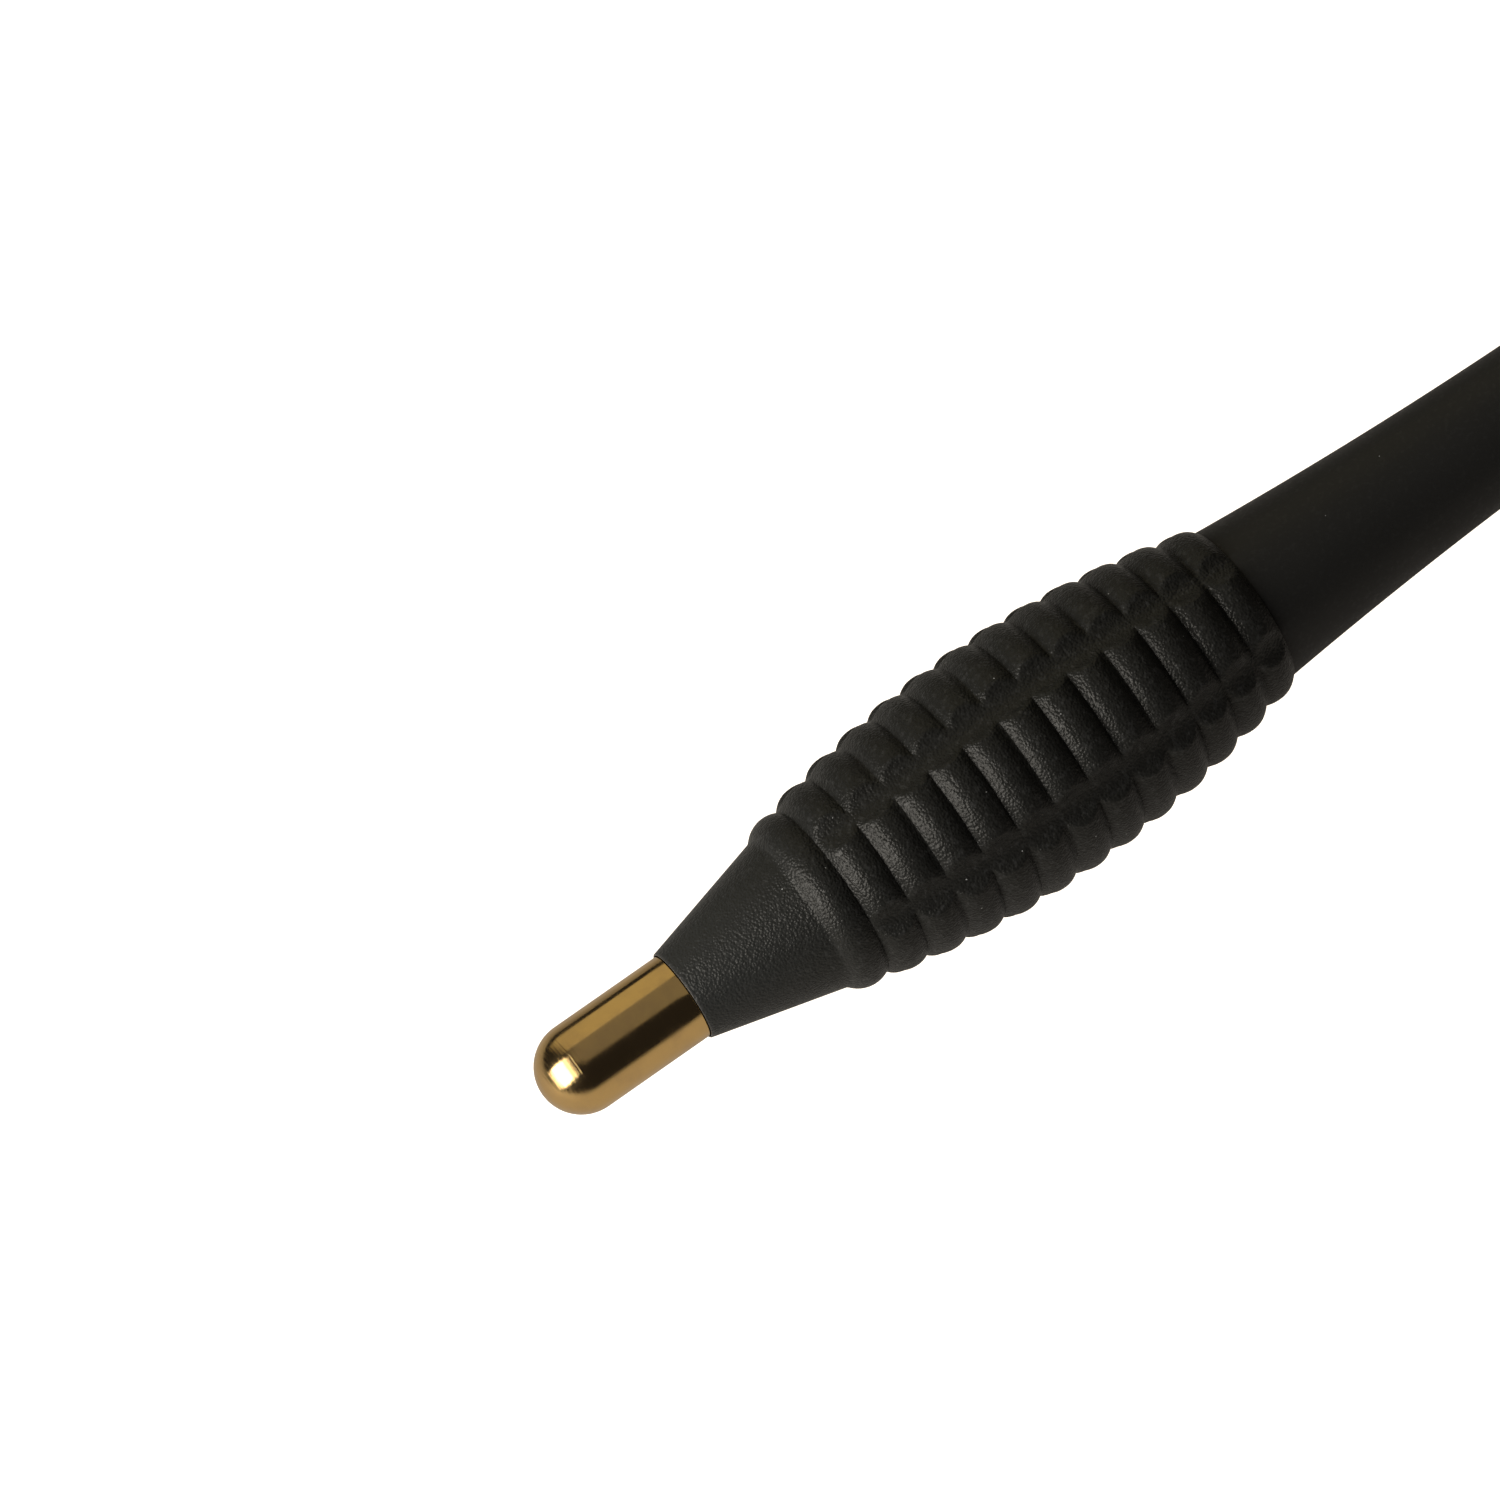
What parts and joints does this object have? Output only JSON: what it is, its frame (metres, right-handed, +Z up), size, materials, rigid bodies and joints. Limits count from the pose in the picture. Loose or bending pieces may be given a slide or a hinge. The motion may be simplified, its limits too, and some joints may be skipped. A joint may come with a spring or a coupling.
{
  "type": "security tag detacher",
  "caption": "Pen-shaped magnetic detacher with a round-nosed sprung probe, a ribbed and fluted grip and a tapering barrel with a tether eyelet.",
  "frame": {"origin": "on the tool's axis at the front face of the nose, where the probe's straight wall ends", "axes": "+X along the tool's axis towards the tail, so the probe points to -X; +Z up; +Y along the tether hole"},
  "size_m": [0.15, 0.022, 0.0218],
  "materials": {
    "gold_plate": "polished gold plate over brass",
    "pole_steel": "turned low-carbon steel",
    "magnet_nickel": "bright nickel plate on sintered magnet",
    "plug_brass": "turned brass",
    "bumper_rubber": "matte nitrile rubber",
    "bush_bronze": "sintered bronze, oiled",
    "grip_black": "fine grained moulding, matte black",
    "core_aluminium": "drawn tube, clear anodised",
    "spring_steel": "spring wire, as drawn",
    "washer_steel": "stamped and tumbled",
    "ring_rubber": "matte black rubber",
    "insert_brass": "turned brass",
    "barrel_black": "smooth satin black moulding",
    "eyelet_nickel": "nickel-plated brass, light wear"
  },
  "bodies": {
    "handle": {"guide_bush": "bush_bronze", "grip_sleeve": "grip_black", "core_tube": "core_aluminium", "return_spring": "spring_steel", "spring_washer": "washer_steel", "joint_ring": "ring_rubber", "barrel_insert": "insert_brass", "barrel": "barrel_black", "stiffener_tube": "pole_steel", "end_plug": "barrel_black", "tail_ring": "ring_rubber", "tether_eyelet": "eyelet_nickel", "eyelet_washer": "eyelet_nickel"},
    "plunger": {"probe_tip": "gold_plate", "pole_nose": "pole_steel", "magnet_front": "magnet_nickel", "magnet_middle": "magnet_nickel", "magnet_rear": "magnet_nickel", "keeper_disc": "pole_steel", "plunger_plug": "plug_brass", "bumper_ring": "bumper_rubber"}
  },
  "joints": [
    {"name": "probe_slide", "type": "slide", "parent": "handle", "child": "plunger", "axis": [1, 0, 0], "range_m": [0, 0.003], "stiffness_N_per_m": 450, "springref_m": -0.008, "deforming": ["return_spring"]}
  ]
}
